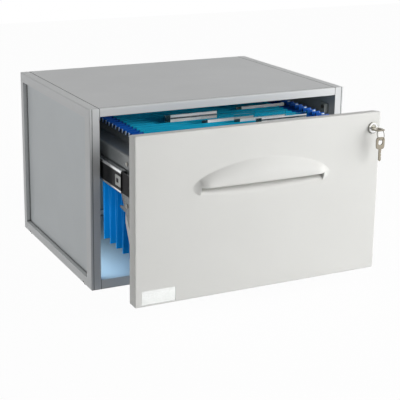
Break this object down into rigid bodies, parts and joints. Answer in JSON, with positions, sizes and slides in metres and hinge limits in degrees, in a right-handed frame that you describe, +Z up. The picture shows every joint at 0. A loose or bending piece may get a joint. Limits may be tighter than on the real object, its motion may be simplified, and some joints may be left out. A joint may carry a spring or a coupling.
{
  "type": "drawer module",
  "caption": "Low case with one locking drawer on ball runners, a moulded finger grip and rails inside that carry hanging suspension files.",
  "frame": {"origin": "middle of the four feet, on the surface that the case stands on", "axes": "+X to the right seen from the front, +Y to the back, +Z up; the drawer opens along -Y"},
  "size_m": [0.474, 0.5238, 0.303],
  "materials": {
    "case_grey": "fine matt grain, light grey",
    "side_board_grey": "matt, light grey",
    "back_grey": "matt, mid grey",
    "foot_rubber": "matt black",
    "screw_steel": "zinc plated",
    "runner_steel": "bright zinc plated",
    "ball_steel": "polished",
    "bumper_black": "satin black",
    "drawer_sheet": "grey powder coat",
    "bracket_beige": "grey beige powder coat",
    "front_white": "satin off-white",
    "cover_grey": "matt grey",
    "label_paper": "plain",
    "clear_plastic": "clear",
    "lock_chrome": "polished",
    "lock_zinc": "die-cast zinc",
    "key_nickel": "nickel over brass, worn",
    "file_card": "blue, fine fibre",
    "file_bar": "deep blue"
  },
  "bodies": {
    "cabinet": {"left_side_frame": "case_grey", "right_side_frame": "case_grey", "left_side_panel": "side_board_grey", "right_side_panel": "side_board_grey", "top_panel": "case_grey", "bottom_panel": "case_grey", "back_panel": "back_grey", "case_feet": "foot_rubber", "case_screws": "screw_steel", "left_slide_outer": "runner_steel", "right_slide_outer": "runner_steel", "runner_screws": "screw_steel", "lock_strike": "runner_steel"},
    "drawer": {"front_shell": "front_white", "front_cover": "cover_grey", "cover_screws": "screw_steel", "label_card": "label_paper", "label_cover": "clear_plastic", "lock_housing": "lock_zinc", "lock_rosette": "lock_chrome", "lock_nut": "lock_zinc", "left_drawer_side": "drawer_sheet", "right_drawer_side": "drawer_sheet", "left_front_bracket": "bracket_beige", "right_front_bracket": "bracket_beige", "rear_crossbar": "drawer_sheet", "left_slide_inner": "runner_steel", "right_slide_inner": "runner_steel", "left_slide_bumper": "bumper_black", "right_slide_bumper": "bumper_black", "slide_rivets": "screw_steel", "drawer_screws": "screw_steel"},
    "left_runner": {"left_slide_middle": "runner_steel"},
    "right_runner": {"right_slide_middle": "runner_steel"},
    "left_outer_balls": {"left_outer_ball_cage": "ball_steel"},
    "right_outer_balls": {"right_outer_ball_cage": "ball_steel"},
    "left_inner_balls": {"left_inner_ball_cage": "ball_steel"},
    "right_inner_balls": {"right_inner_ball_cage": "ball_steel"},
    "lock": {"lock_plug": "lock_chrome", "lock_cam": "screw_steel", "cam_screw": "screw_steel"},
    "key": {"lock_key": "key_nickel"},
    "ring": {"key_ring": "lock_chrome"},
    "second_key": {"spare_key": "key_nickel"},
    "files": {"suspension_file_01": "file_card", "suspension_file_02": "file_card", "suspension_file_03": "file_card", "suspension_file_04": "file_card", "suspension_file_05": "file_card", "suspension_file_06": "file_card", "suspension_file_07": "file_card", "suspension_file_08": "file_card", "suspension_file_09": "file_card", "file_bars": "file_bar", "file_tabs": "clear_plastic", "file_tab_labels": "label_paper"}
  },
  "joints": [
    {"name": "drawer_slide", "type": "slide", "parent": "cabinet", "child": "drawer", "axis": [0, -1, 0], "range_m": [-0.136, 0.139]},
    {"name": "left_runner_slide", "type": "slide", "parent": "cabinet", "child": "left_runner", "axis": [0, -1, 0], "range_m": [-0.10658, 0.10892]},
    {"name": "right_runner_slide", "type": "slide", "parent": "cabinet", "child": "right_runner", "axis": [0, -1, 0], "range_m": [-0.10658, 0.10892]},
    {"name": "left_outer_balls_slide", "type": "slide", "parent": "cabinet", "child": "left_outer_balls", "axis": [0, -1, 0], "range_m": [-0.05354, 0.05471]},
    {"name": "right_outer_balls_slide", "type": "slide", "parent": "cabinet", "child": "right_outer_balls", "axis": [0, -1, 0], "range_m": [-0.05354, 0.05471]},
    {"name": "left_inner_balls_slide", "type": "slide", "parent": "cabinet", "child": "left_inner_balls", "axis": [0, -1, 0], "range_m": [-0.12154, 0.12421]},
    {"name": "right_inner_balls_slide", "type": "slide", "parent": "cabinet", "child": "right_inner_balls", "axis": [0, -1, 0], "range_m": [-0.12154, 0.12421]},
    {"name": "lock_turn", "type": "hinge", "parent": "drawer", "child": "lock", "pos_m": [0.2035, -0.314, 0.2625], "axis": [0, -1, 0], "range_deg": [0, 90]},
    {"name": "key_pull", "type": "slide", "parent": "lock", "child": "key", "axis": [0, -1, 0], "range_m": [0, 0.03]},
    {"name": "ring_swing", "type": "hinge", "parent": "key", "child": "ring", "pos_m": [0.2035, -0.3362, 0.2635], "axis": [0, 1, 0], "range_deg": [-25, 25]},
    {"name": "spare_key_swing", "type": "hinge", "parent": "ring", "child": "second_key", "pos_m": [0.2035, -0.3362, 0.2464], "axis": [0, 1, 0], "range_deg": [-30, 30]},
    {"name": "files_slide", "type": "slide", "parent": "drawer", "child": "files", "axis": [0, 1, 0], "range_m": [0, 0.055]}
  ],
  "couplings": [
    {"joint": "left_runner_slide", "follows": "drawer_slide", "ratio": 0.78},
    {"joint": "right_runner_slide", "follows": "drawer_slide", "ratio": 0.78},
    {"joint": "left_outer_balls_slide", "follows": "drawer_slide", "ratio": 0.39},
    {"joint": "right_outer_balls_slide", "follows": "drawer_slide", "ratio": 0.39},
    {"joint": "left_inner_balls_slide", "follows": "drawer_slide", "ratio": 0.89},
    {"joint": "right_inner_balls_slide", "follows": "drawer_slide", "ratio": 0.89}
  ]
}
